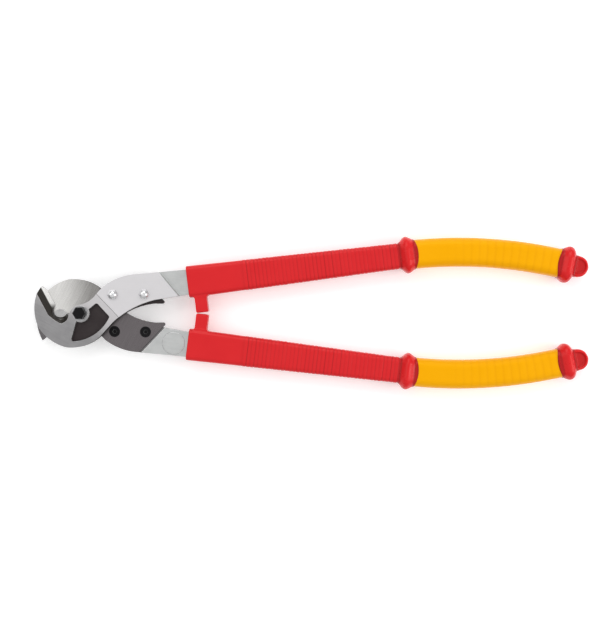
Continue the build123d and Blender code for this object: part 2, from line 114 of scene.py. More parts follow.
@dataclass
class NodeSheet:
    """Short ways to add and wire nodes in one tree."""

    tree: bpy.types.NodeTree

    def add(self, kind: str, **values: object) -> bpy.types.Node:
        """Adds a node and sets its properties.

        Args:
            kind: Blender's name of the node type.
            values: properties of the node, by name.

        Returns:
            The new node.
        """
        node = self.tree.nodes.new(kind)
        for name, value in values.items():
            setattr(node, name, value)
        return node

    def feed(self, socket: bpy.types.NodeSocket, value: object) -> None:
        """Links an output to a socket, or sets the socket's own value.

        Args:
            socket: the input to feed.
            value: an output, or a value of the socket's own kind.
        """
        if isinstance(value, bpy.types.NodeSocket):
            self.tree.links.new(value, socket)
        else:
            socket.default_value = value

    def sum(self, kind: str, *values: object, clamp: bool = False) -> bpy.types.NodeSocket:
        """Works something out with a Math node.

        Args:
            kind: Blender's name of the operation.
            values: outputs or numbers that go in.
            clamp: whether the result is held between 0 and 1.

        Returns:
            The result.
        """
        node = self.add("ShaderNodeMath", operation=kind, use_clamp=clamp)
        for socket, value in zip(node.inputs, values):
            self.feed(socket, value)
        return node.outputs[0]

    def ramp(self, value: object, low: float, high: float, to: Span = (0, 1)) -> object:
        """Maps a value from a span to another one, eased and clamped.

        Args:
            value: output or number to map.
            low: start of the span.
            high: end of the span.
            to: values at the start and the end.

        Returns:
            The mapped output.
        """
        node = self.add("ShaderNodeMapRange", interpolation_type="SMOOTHSTEP")
        for name, given in (("Value", value), ("From Min", low), ("From Max", high)):
            self.feed(node.inputs[name], given)
        self.feed(node.inputs["To Min"], float(to[0]))
        self.feed(node.inputs["To Max"], float(to[1]))
        return node.outputs[0]

    def blend(self, share: object, first: object, second: object) -> object:
        """Mixes two colours.

        Args:
            share: share of the second colour, from 0 to 1.
            first: a colour, or an output that gives one.
            second: the same, for the other colour.

        Returns:
            The mixed colour.
        """
        node = self.add("ShaderNodeMix", data_type="RGBA")
        colours = [s for s in node.inputs if s.type == "RGBA"]
        self.feed(node.inputs[0], share)
        for socket, value in zip(colours, (first, second)):
            self.feed(socket, (*value, 1.0) if isinstance(value, tuple) else value)
        return next(s for s in node.outputs if s.type == "RGBA")

    def noise(self, place: object, scale: object, detail: float, rough: float) -> object:
        """Adds a noise texture.

        Args:
            place: where it is looked up.
            scale: its fineness.
            detail: how many finer layers it has.
            rough: weight of the finer layers.

        Returns:
            Its value.
        """
        node = self.add("ShaderNodeTexNoise")
        self.feed(node.inputs["Vector"], place)
        self.feed(node.inputs["Scale"], scale)
        node.inputs["Detail"].default_value = detail
        node.inputs["Roughness"].default_value = rough
        return node.outputs[0]

    def stretch(self, place: object, turn: float, scale: Colour = (1, 1, 1)) -> object:
        """Turns a place about Z and scales it along each axis.

        Args:
            place: the coordinates to change.
            turn: the turn, in degrees.
            scale: scale along each axis.

        Returns:
            The new coordinates.
        """
        node = self.add("ShaderNodeMapping")
        self.feed(node.inputs["Vector"], place)
        node.inputs["Rotation"].default_value = (0, 0, radians(turn))
        node.inputs["Scale"].default_value = scale
        return node.outputs[0]

    def axes(self, place: object) -> list[bpy.types.NodeSocket]:
        """Takes a place apart.

        Args:
            place: the coordinates.

        Returns:
            Its three coordinates, one output each.
        """
        node = self.add("ShaderNodeSeparateXYZ")
        self.feed(node.inputs[0], place)
        return list(node.outputs)

    def place(self) -> object:
        """Object coordinates, in metres."""
        return self.add("ShaderNodeTexCoord").outputs["Object"]

    def attribute(self, name: str) -> object:
        """Value of the piece's own attribute."""
        return self.add("ShaderNodeAttribute", attribute_name=name).outputs["Fac"]

    def bump(self, height: object, depth: float, strength: float) -> object:
        """Makes a normal of a height map.

        Args:
            height: the map, from 0 to 1.
            depth: what its full height stands for, in metres.
            strength: share of it that is felt.

        Returns:
            The normal.
        """
        node = self.add("ShaderNodeBump")
        self.feed(node.inputs["Height"], height)
        node.inputs["Distance"].default_value = depth
        node.inputs["Strength"].default_value = strength
        return node.outputs[0]


class Effect(Enum):
    """Effects shared by several materials, each one a node group that is made once."""

    MOTTLE = "mottle"
    SCRATCHES = "scratches"
    GRIT = "grit"
    RUB = "rub"

    def group(self) -> bpy.types.NodeTree:
        """Gives the effect's node group, which is made when it is first asked for.

        Returns:
            The group.
        """
        found = bpy.data.node_groups.get(self.value)
        if found:
            return found
        tree = bpy.data.node_groups.new(self.value, "ShaderNodeTree")
        makers = {
            Effect.MOTTLE: _make_mottle,
            Effect.SCRATCHES: _make_scratches,
            Effect.GRIT: _make_grit,
            Effect.RUB: _make_rub,
        }
        makers[self](tree)
        return tree

    def use(self, sheet: NodeSheet, **values: object) -> bpy.types.Node:
        """Places the effect in a material.

        Args:
            sheet: the material's nodes.
            values: the group's inputs, by name.

        Returns:
            The group node, with named outputs.
        """
        node = sheet.add("ShaderNodeGroup", node_tree=self.group())
        for name, value in values.items():
            sheet.feed(node.inputs[name], value)
        return node


def _open_group(
    tree: bpy.types.NodeTree, inputs: dict[str, float], outputs: list[str]
) -> tuple[NodeSheet, bpy.types.Node, bpy.types.Node]:
    """Gives a group its sockets.

    Args:
        tree: the group.
        inputs: name and default of each number that goes in, besides Place.
        outputs: names of the values that come out.

    Returns:
        The sheet, the group's input node and its output node.
    """
    face = tree.interface
    face.new_socket("Place", in_out="INPUT", socket_type="NodeSocketVector")
    for name, value in inputs.items():
        socket = face.new_socket(name, in_out="INPUT", socket_type="NodeSocketFloat")
        socket.default_value = value
    for name in outputs:
        face.new_socket(name, in_out="OUTPUT", socket_type="NodeSocketFloat")
    sheet = NodeSheet(tree)
    return sheet, sheet.add("NodeGroupInput"), sheet.add("NodeGroupOutput")


def _make_mottle(tree: bpy.types.NodeTree) -> None:
    """Slow cloudy change of shade, and the fine orange peel of a dipped coat.

    Args:
        tree: the group to fill.
    """
    sheet, start, end = _open_group(tree, {}, ["Cloud", "Peel"])
    place = start.outputs["Place"]
    cloud = sheet.noise(place, scale=40.0, detail=4.0, rough=0.55)
    peel = sheet.noise(place, scale=900.0, detail=2.0, rough=0.4)
    sheet.feed(end.inputs["Cloud"], sheet.ramp(cloud, low=0.3, high=0.7))
    sheet.feed(end.inputs["Peel"], peel)


def _make_scratches(tree: bpy.types.NodeTree) -> None:
    """Grinding lines along X of the place that it is given, in two finenesses.

    Args:
        tree: the group to fill.
    """
    sheet, start, end = _open_group(tree, {}, ["Lines", "Bands"])
    place = start.outputs["Place"]
    fine = sheet.noise(sheet.stretch(place, 0, FINE_LINES), scale=1.0, detail=2.0, rough=0.5)
    broad = sheet.noise(sheet.stretch(place, 0, BROAD_LINES), scale=1.0, detail=3.0, rough=0.6)
    sheet.feed(end.inputs["Lines"], fine)
    sheet.feed(end.inputs["Bands"], sheet.ramp(broad, low=0.25, high=0.75))


def _make_grit(tree: bpy.types.NodeTree) -> None:
    """Fine pitting of a forged or plated skin, and larger dull patches.

    Args:
        tree: the group to fill.
    """
    sheet, start, end = _open_group(tree, {"Patch": 110.0}, ["Pits", "Patches"])
    place = start.outputs["Place"]
    pits = sheet.noise(place, scale=2200.0, detail=3.0, rough=0.7)
    patches = sheet.noise(place, start.outputs["Patch"], detail=5.0, rough=0.6)
    sheet.feed(end.inputs["Pits"], pits)
    sheet.feed(end.inputs["Patches"], sheet.ramp(patches, low=0.35, high=0.7))


def _make_rub(tree: bpy.types.NodeTree) -> None:
    """Breaks up an edge mask, so that wear comes and goes along an edge.

    Args:
        tree: the group to fill.
    """
    sheet, start, end = _open_group(tree, {"Mask": 0.0, "Amount": 0.6}, ["Bare"])
    broken = sheet.noise(start.outputs["Place"], scale=380.0, detail=4.0, rough=0.65)
    level = sheet.ramp(broken, low=0.38, high=0.62, to=(0.35, 1.0))
    bare = sheet.sum("MULTIPLY", start.outputs["Mask"], level)
    bare = sheet.sum("MULTIPLY", bare, start.outputs["Amount"], clamp=True)
    sheet.feed(end.inputs["Bare"], bare)


# ---------------------------------------------------------------- Finishes


@dataclass(frozen=True)
class Finish:
    """A named finish. Each kind of finish paints its own material."""

    name: str

    def material(self) -> bpy.types.Material:
        """Gives the finish as a material, which is made when it is first asked for.

        Returns:
            The material.
        """
        found = bpy.data.materials.get(self.name)
        if found:
            return found
        made = bpy.data.materials.new(self.name)
        made.use_nodes = True
        sheet = NodeSheet(made.node_tree)
        self.paint(sheet, made.node_tree.nodes["Principled BSDF"])
        return made

    def paint(self, sheet: NodeSheet, surface: bpy.types.Node) -> None:
        """Wires the material. Each finish has its own.

        Args:
            sheet: nodes of the material.
            surface: its Principled shader.
        """
        raise NotImplementedError


@dataclass(frozen=True)
class Sheath(Finish):
    """Dipped insulating coat: half gloss, a little cloudy, with painted shade in its hollows and
    creases.
    """

    colour: Colour
    painted_shade_colour: Colour                # painted shade colour, for hollows and creases
    light: Colour               # in a cloud
    gleam: Colour               # tint of the gloss
    rough: float = 0.36
    cloud_share: float = 0.35
    gloss_spread: Span = (-0.05, 0.1)
    patch_scale: float = 60.0
    peel_depth: float = 0.06 * MM
    peel_strength: float = 0.35
    reflection: float = 0.5

    def paint(self, sheet: NodeSheet, surface: bpy.types.Node) -> None:
        """Wires colour, gloss and orange peel.

        Args:
            sheet: nodes of the material.
            surface: its Principled shader.
        """
        place = sheet.place()
        mottle = Effect.MOTTLE.use(sheet, Place=place)
        grit = Effect.GRIT.use(sheet, Place=place, Patch=self.patch_scale)
        cloud = sheet.sum("MULTIPLY", mottle.outputs["Cloud"], self.cloud_share)
        base = sheet.blend(cloud, self.colour, self.light)
        # blends in painted shade by each vertex's painted shade value, in hollows and creases
        colour = sheet.blend(sheet.attribute("painted_shade"), base, self.painted_shade_colour)
        sheet.feed(surface.inputs["Base Color"], colour)
        span = tuple(self.rough + spread for spread in self.gloss_spread)
        gloss = sheet.ramp(grit.outputs["Patches"], low=0.0, high=1.0, to=span)
        sheet.feed(surface.inputs["Roughness"], gloss)
        peel = sheet.bump(mottle.outputs["Peel"], self.peel_depth, self.peel_strength)
        sheet.feed(surface.inputs["Normal"], peel)
        surface.inputs["Specular IOR Level"].default_value = self.reflection
        surface.inputs["Specular Tint"].default_value = (*self.gleam, 1.0)


@dataclass(frozen=True)
class Steel(Finish):
    """Bare or plated steel with grinding lines, pits and rubbed edges."""

    colour: Colour
    dull: Colour
    bare: Colour = (0.75, 0.75, 0.74)
    rough: float = 0.34
    lay: float = 0.0            # direction of the grinding lines, in degrees
    line_share: float = 0.5     # how far the lines shade the colour
    patch_share: float = 0.4    # how far the dull patches do
    gloss_spread: Span = (-0.06, 0.08)
    wear_share: float = 0.8     # how bare a rubbed edge is at most
    pit_depth: float = 0.02 * MM
    pit_strength: float = 0.4
    metallic: float = 1.0

    def grinding(self, sheet: NodeSheet, place: object) -> bpy.types.Node:
        """Grinding lines that run in this finish's own direction."""
        return Effect.SCRATCHES.use(sheet, Place=sheet.stretch(place, self.lay))

    def streaks(self, sheet: NodeSheet, place: object) -> object:
        """How far the broad grinding bands shade the colour at a place."""
        bands = self.grinding(sheet, place).outputs["Bands"]
        return sheet.sum("MULTIPLY", bands, self.line_share)

    def shade(self, sheet: NodeSheet, place: object) -> object:
        """Colour before wear: the ground colour broken up by lines and patches.

        Args:
            sheet: nodes of the material.
            place: object coordinates.

        Returns:
            A colour output.
        """
        grit = Effect.GRIT.use(sheet, Place=place)
        patches = sheet.sum("MULTIPLY", grit.outputs["Patches"], self.patch_share)
        share = sheet.sum("ADD", self.streaks(sheet, place), patches, clamp=True)
        return sheet.blend(share, self.colour, self.dull)

    def paint(self, sheet: NodeSheet, surface: bpy.types.Node) -> None:
        """Wires colour, wear, gloss and relief.

        Args:
            sheet: nodes of the material.
            surface: its Principled shader.
        """
        place = sheet.place()
        grit = Effect.GRIT.use(sheet, Place=place)
        lines = self.grinding(sheet, place).outputs["Lines"]
        wear = sheet.attribute("wear")
        rub = Effect.RUB.use(sheet, Place=place, Mask=wear, Amount=self.wear_share)
        colour = sheet.blend(rub.outputs["Bare"], self.shade(sheet, place), self.bare)
        sheet.feed(surface.inputs["Base Color"], colour)
        span = tuple(self.rough + spread for spread in self.gloss_spread)
        sheet.feed(surface.inputs["Roughness"], sheet.ramp(lines, low=0.2, high=0.8, to=span))
        relief = sheet.sum("ADD", grit.outputs["Pits"], lines)
        normal = sheet.bump(relief, self.pit_depth, self.pit_strength)
        sheet.feed(surface.inputs["Normal"], normal)
        surface.inputs["Metallic"].default_value = self.metallic


@dataclass(frozen=True)
class OuterFace(Steel):
    """The jaw's ground outer face, with a painted reflection that makes it brighter towards the
    pivot.
    """

    # colour of the painted reflection on the pivot side
    bright: Colour = (0.68, 0.66, 0.67)
    painted_reflection_share: float = 0.85
    reflection_way: float = 60.0           # direction in which the painted reflection brightens it, in degrees
    span: Span = (-20 * MM, 18 * MM)

    def shade(self, sheet: NodeSheet, place: object) -> object:
        """Fades the ground face from the hook to the pivot side, which a painted reflection makes
        brighter.

        Args:
            sheet: nodes of the material.
            place: object coordinates.

        Returns:
            A colour output.
        """
        along = sheet.axes(sheet.stretch(place, -self.reflection_way))[0]
        share = sheet.sum("MULTIPLY", sheet.ramp(along, *self.span), self.painted_reflection_share)
        return sheet.blend(share, super().shade(sheet, place), self.bright)


@dataclass(frozen=True)
class SlidingFace(Steel):
    """The jaw's shear face: polished steel with a painted reflection that is brightest on its
    outer side, a painted shadow of the other jaw on the beak, and dark on the arm.
    """

    arm: Colour = (0.155, 0.14, 0.145)
    arm_dull: Colour = (0.19, 0.175, 0.18)
    # colour of the painted shadow that the other jaw casts on the beak
    beak_shadow: Colour = (0.16, 0.15, 0.155)
    arm_span: Span = (16 * MM, 26 * MM)
    # where the painted reflection fades along X, from bright to dull
    disc_reflection_span: Span = (-28 * MM, 20 * MM)
    disc_streaks: float = 0.4   # how far the lines shade the disc
    # where the painted shadow on the beak comes in, sideways from the X axis
    beak_shadow_span: Span = (2 * MM, 12 * MM)

    def beak_shadow_share(self, sheet: NodeSheet, side: object, rise: object) -> object:
        """Share of the painted shadow on the beak, which is on opposite sides of the two jaws.

        Args:
            sheet: nodes of the material.
            side: distance to the left of the X axis.
            rise: height above the shear plane.

        Returns:
            An output that is 1 on the beak and 0 on the disc.
        """
        own_side = sheet.sum("MULTIPLY", side, sheet.sum("SIGN", rise))
        return sheet.ramp(own_side, *self.beak_shadow_span)

    def shade(self, sheet: NodeSheet, place: object) -> object:
        """Fades the polished disc's painted reflection from its bright outer side, and puts on the
        dark arm and the painted shadow on the beak.

        Args:
            sheet: nodes of the material.
            place: object coordinates.

        Returns:
            A colour output.
        """
        ahead, side, height = sheet.axes(place)
        rise = sheet.sum("SUBTRACT", height, SHEAR)
        streaks = self.streaks(sheet, place)
        weak = sheet.sum("MULTIPLY", streaks, self.disc_streaks)
        share = sheet.sum("ADD", sheet.ramp(ahead, *self.disc_reflection_span), weak, clamp=True)
        disc = sheet.blend(share, self.colour, self.dull)
        disc = sheet.blend(self.beak_shadow_share(sheet, side, rise), disc, self.beak_shadow)
        arm = sheet.blend(streaks, self.arm, self.arm_dull)
        return sheet.blend(sheet.ramp(ahead, *self.arm_span), disc, arm)


@dataclass(frozen=True)
class LappedBar(Steel):
    """Plated handle bar, brighter on the lap that was ground flat before plating."""

    lap: Colour = (0.76, 0.735, 0.755)
    lap_share: float = 0.75
    lap_height: float = 9.6 * MM        # from the shear plane
    lap_fade: float = 0.2 * MM
    pad: Span = (99.8 * MM, 32.4 * MM)  # the pad's middle, along X and away from it
    pad_radius: float = 12.1 * MM
    line: Colour = (0.2, 0.2, 0.2)      # painted shade round the pad's edge
    pad_shade_half: float = 0.55 * MM        # half its width
    pad_shade_strength: float = 0.75
    face_fade: Span = (-2 * MM, 0.0)    # keeps the painted shade to the bar's inner face

    def pad_edge_shade(self, sheet: NodeSheet, axes: list, rise: object) -> object:
        """Share of the painted shade round the pad's edge, which is on the bar's inner face.

        Args:
            sheet: nodes of the material.
            axes: the three coordinates.
            rise: height above the shear plane.

        Returns:
            An output that is strongest in the middle of the line.
        """
        across = sheet.sum("SUBTRACT", sheet.sum("ABSOLUTE", axes[1]), self.pad[1])
        ahead = sheet.sum("SUBTRACT", axes[0], self.pad[0])
        squares = [sheet.sum("MULTIPLY", value, value) for value in (ahead, across)]
        away = sheet.sum("SQRT", sheet.sum("ADD", *squares))
        off = sheet.sum("ABSOLUTE", sheet.sum("SUBTRACT", away, self.pad_radius))
        side = sheet.sum("MULTIPLY", axes[1], sheet.sum("SIGN", rise))
        near = sheet.ramp(off, 0.0, self.pad_shade_half, to=(self.pad_shade_strength, 0.0))
        return sheet.sum("MULTIPLY", near, sheet.ramp(side, *self.face_fade, to=(1.0, 0.0)))

    def shade(self, sheet: NodeSheet, place: object) -> object:
        """Puts the brighter lap and the painted shade round the pad on the satin bar.

        Args:
            sheet: nodes of the material.
            place: object coordinates.

        Returns:
            A colour output.
        """
        axes = sheet.axes(place)
        rise = sheet.sum("SUBTRACT", axes[2], SHEAR)
        low, high = self.lap_height - self.lap_fade, self.lap_height + self.lap_fade
        share = sheet.ramp(sheet.sum("ABSOLUTE", rise), low, high, to=(0.0, self.lap_share))
        plain = sheet.blend(share, super().shade(sheet, place), self.lap)
        return sheet.blend(self.pad_edge_shade(sheet, axes, rise), plain, self.line)


@dataclass(frozen=True)
class CuttingEdge(Steel):
    """Bevel behind the edge: ground bright next to it, and left dark above and in the throat."""

    ground_height: float = 4.2 * MM
    ground_fade: float = 0.35 * MM
    ground_span: Span = (4.5 * MM, 12.5 * MM)   # away from the throat's middle line

    def shade(self, sheet: NodeSheet, place: object) -> object:
        """Puts the ground band between the edge and the dark forged skin.

        Args:
            sheet: nodes of the material.
            place: object coordinates.

        Returns:
            A colour output.
        """
        _, side, height = sheet.axes(place)
        rise = sheet.sum("ABSOLUTE", sheet.sum("SUBTRACT", height, SHEAR))
        start, end = self.ground_height - self.ground_fade, self.ground_height + self.ground_fade
        low = sheet.ramp(rise, start, end, to=(1, 0))
        along = sheet.ramp(sheet.sum("ABSOLUTE", side), *self.ground_span)
        ground = sheet.sum("MULTIPLY", low, along)
        bright = sheet.blend(self.streaks(sheet, place), self.bare, self.colour)
        return sheet.blend(ground, self.dull, bright)


GROUND_JAW = OuterFace(
    "ground_jaw_steel", (0.34, 0.335, 0.34), (0.27, 0.265, 0.27), lay=28, rough=0.36,
)
SHEAR_JAW = SlidingFace(
    "polished_shear_face", (0.80, 0.79, 0.77), (0.30, 0.29, 0.28), lay=-62, rough=0.3,
)
EDGE_JAW = CuttingEdge(
    "ground_cutting_edge", (0.75, 0.75, 0.73), (0.028, 0.024, 0.02), (0.9, 0.89, 0.87),
    lay=35, rough=0.28, metallic=0.3,
)
FORGED_JAW = Steel(
    "black_forged_skin", (0.034, 0.026, 0.027), (0.048, 0.04, 0.04), (0.4, 0.39, 0.39),
    rough=0.5, line_share=0.2, pit_depth=0.08 * MM, metallic=0.7,
)
PLATED_BAR = LappedBar(
    "satin_plated_bar", (0.58, 0.59, 0.585), (0.47, 0.48, 0.475), (0.85, 0.85, 0.86),
    lay=7, rough=0.38, line_share=0.3, pit_depth=0.04 * MM, metallic=0.85,
)
BRIGHT_NUT = Steel(
    "bright_plated_nut", (0.8, 0.8, 0.81), (0.7, 0.7, 0.71),
    rough=0.16, line_share=0.2, pit_depth=0.01 * MM,
)
BLACK_OXIDE = Steel(
    "black_oxide_steel", (0.007, 0.007, 0.008), (0.014, 0.013, 0.014), (0.2, 0.2, 0.2),
    rough=0.42, line_share=0.3, metallic=0.85,
)
DULL_ZINC = Steel(
    "dull_zinc_washer", (0.5, 0.5, 0.51), (0.4, 0.4, 0.41), rough=0.4, line_share=0.4,
)
OILED_STEEL = Steel("oiled_bush_steel", (0.45, 0.43, 0.41), (0.35, 0.33, 0.31), rough=0.22)
RED_COAT = Sheath(
    "red_dipped_coat", (0.63, 0.011, 0.016), (0.33, 0.004, 0.007), (0.69, 0.016, 0.02),
    gleam=(1.0, 0.45, 0.42), rough=0.34,
)
RED_GUARD = Sheath(
    "red_guard_coat", (0.66, 0.011, 0.014), (0.30, 0.004, 0.006), (0.74, 0.018, 0.02),
    gleam=(1.0, 0.45, 0.42), rough=0.26,
)
YELLOW_COAT = Sheath(
    "yellow_dipped_coat", (0.86, 0.375, 0.0), (0.74, 0.29, 0.0), (0.89, 0.4, 0.001),
    gleam=(1.0, 0.78, 0.1), rough=0.4,
)


# ---------------------------------------------------------------- Handle shapes


@dataclass(frozen=True)
class HandleLine:
    """Middle line of the upper handle: straight, then one long bend, then straight again."""

    mouth: Span = (115.0 * MM, 33.8 * MM)
    splay: float = 7.0                  # of the first straight, in degrees from the X axis
    straight: float = 237.0 * MM
    bend_radius: float = 490.0 * MM
    bend_angle: float = 18.0            # in degrees

    @property
    def bend_end(self) -> float:
        """Station where the bend ends."""
        return self.straight + self.bend_radius * radians(self.bend_angle)

    def at(self, station: float, side: float, height: float) -> Vector:
        """Place beside the line.

        Args:
            station: distance along the line from the mouth of the sleeve.
            side: distance to the left of the line.
            height: distance above the shear plane.

        Returns:
            The place in the row frame.
        """
        heading = radians(self.splay)
        ahead = Vector((cos(heading), sin(heading), 0))
        left = Vector((-sin(heading), cos(heading), 0))
        point = Vector((*self.mouth, SHEAR)) + ahead * min(station, self.straight)
        bent = min(max(station - self.straight, 0.0), self.bend_end - self.straight)
        if bent > 0:
            centre = point - left * self.bend_radius
            heading -= bent / self.bend_radius
            ahead = Vector((cos(heading), sin(heading), 0))
            left = Vector((-sin(heading), cos(heading), 0))
            point = centre + left * self.bend_radius + ahead * max(station - self.bend_end, 0.0)
        return point + left * side + Vector((0, 0, height))


@dataclass(frozen=True)
class Section:
    """Rounded rectangle across the handle."""

    width: float
    thickness: float
    radius: float

    def grown(self, extra: float) -> "Section":
        """The section made larger all round."""
        radius = max(self.radius + extra, LEAST_RADIUS)
        return Section(self.width + 2 * extra, self.thickness + 2 * extra, radius)

    def towards(self, other: "Section", share: float) -> "Section":
        """Gives a section between this one and another.

        Args:
            other: the other section.
            share: how near it is, from 0 to 1.

        Returns:
            The section between them.
        """
        return Section(
            self.width + (other.width - self.width) * share,
            self.thickness + (other.thickness - self.thickness) * share,
            self.radius + (other.radius - self.radius) * share,
        )

    def points(
        self, corner_steps: int = 8, wide_steps: int = 14, high_steps: int = 4
    ) -> list[tuple[float, float]]:
        """Points round the section, anticlockwise from the right side's lower end.

        Args:
            corner_steps: steps round each corner.
            wide_steps: steps along the top and the bottom.
            high_steps: steps along each side.

        Returns:
            Side and height of each point.
        """
        room = min(self.width, self.thickness) / 2 - CORNER_ROOM
        radius = min(self.radius, room)
        half_wide, half_high = self.width / 2 - radius, self.thickness / 2 - radius
        corners = ((1, 1), (-1, 1), (-1, -1), (1, -1))
        runs = (wide_steps, high_steps, wide_steps, high_steps)
        found = []
        for quarter, ((cx, cy), run) in enumerate(zip(corners, runs)):
            for step in range(corner_steps + 1):
                turn = (quarter + step / corner_steps) * pi / 2
                side = cx * half_wide + radius * cos(turn)
                found.append((side, cy * half_high + radius * sin(turn)))
            nx, ny = corners[(quarter + 1) % 4]
            turn = (quarter + 1) * pi / 2
            for step in range(1, run):
                share = step / run
                side = (cx + (nx - cx) * share) * half_wide + radius * cos(turn)
                height = (cy + (ny - cy) * share) * half_high + radius * sin(turn)
                found.append((side, height))
        return found


GRIP_SECTION = Section(31.2 * MM, 23.0 * MM, 9.0 * MM)
RIDGE_SECTION = Section(40.0 * MM, 32.0 * MM, 13.4 * MM)
SLEEVE_END = Section(27.18 * MM, 18.0 * MM, 5.0 * MM)
SKIN = 0.7 * MM             # how far collar and cap stand proud of the grip


def ring_edges(mesh: bmesh.types.BMesh, ring: list) -> list[bmesh.types.BMEdge]:
    """The edges that join a ring of vertices."""
    return [mesh.edges.get(pair) for pair in zip(ring, ring[1:] + ring[:1])]


class Sweep:
    """A tube grown ring by ring from a first circle of vertices."""

    def __init__(self, first: Ring) -> None:
        """Starts the tube with its first ring.

        Args:
            first: place of each vertex of the ring.
        """
        self.mesh = bmesh.new()
        self.painted_shade = self.mesh.verts.layers.float.new("painted_shade")
        made = bmesh.ops.create_circle(self.mesh, segments=len(first), radius=1.0, cap_ends=False)
        self.ring = made["verts"]
        self.rings = [self.ring]
        for vertex, place in zip(self.ring, first):
            vertex.co = place

    def grow(self, places: Ring, painted_shade: float | list[float] = 0.0) -> None:
        """Extrudes the last ring to new places.

        Args:
            places: place of each vertex of the new ring.
            painted_shade: painted shade of the ring, or of each vertex of it, from 0 to 1.
        """
        shade_values = painted_shade if isinstance(painted_shade, list) else [painted_shade] * len(places)
        order = {tuple(vertex.co): index for index, vertex in enumerate(self.ring)}
        edges = ring_edges(self.mesh, self.ring)
        made = bmesh.ops.extrude_edge_only(self.mesh, edges=edges)["geom"]
        grown = [None] * len(self.ring)
        for vertex in (g for g in made if isinstance(g, bmesh.types.BMVert)):
            grown[order[tuple(vertex.co)]] = vertex
        # depth here is the painted shade of the vertex
        for vertex, place, depth in zip(grown, places, shade_values):
            vertex.co = place
            vertex[self.painted_shade] = depth
        self.ring = grown
        self.rings.append(grown)

    def close(self) -> None:
        """Closes both ends and turns the faces outwards."""
        for ring in (self.rings[0], self.rings[-1]):
            bmesh.ops.edgeloop_fill(self.mesh, edges=ring_edges(self.mesh, ring))
        bmesh.ops.recalc_face_normals(self.mesh, faces=self.mesh.faces)


def finish_piece(
    name: str, mesh: bmesh.types.BMesh, half: Half | None, finish: list[Finish],
    nodes: tuple[str, ...], body: str, sharp: float = 40.0,
) -> bpy.types.Object:
    """Makes an object of a mesh, dresses it and lets it stand for its CAD nodes.

    Args:
        name: name of the piece.
        mesh: its mesh in the upper half's place, or in its own place if half is None.
        half: the half whose place it takes.
        finish: its finishes, in the order of its faces' material numbers.
        nodes: CAD nodes that it stands for.
        body: the rigid body that it rides on.
        sharp: angle in degrees above which an edge is shaded sharp.

    Returns:
        The new object.
    """
    if half:
        half.settle(mesh)
    data = bpy.data.meshes.new(name)
    mesh.to_mesh(data)
    mesh.free()
    data.shade_smooth()
    data.set_sharp_from_angle(angle=radians(sharp))
    for look in finish:
        data.materials.append(look.material())
    piece = bpy.data.objects.new(name, data)
    bpy.context.scene.collection.objects.link(piece)
    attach(piece, body)
    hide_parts(*nodes)
    log.info("%s: %d faces on %s, stands for %s", name, len(data.polygons), body, ", ".join(nodes))
    return piece


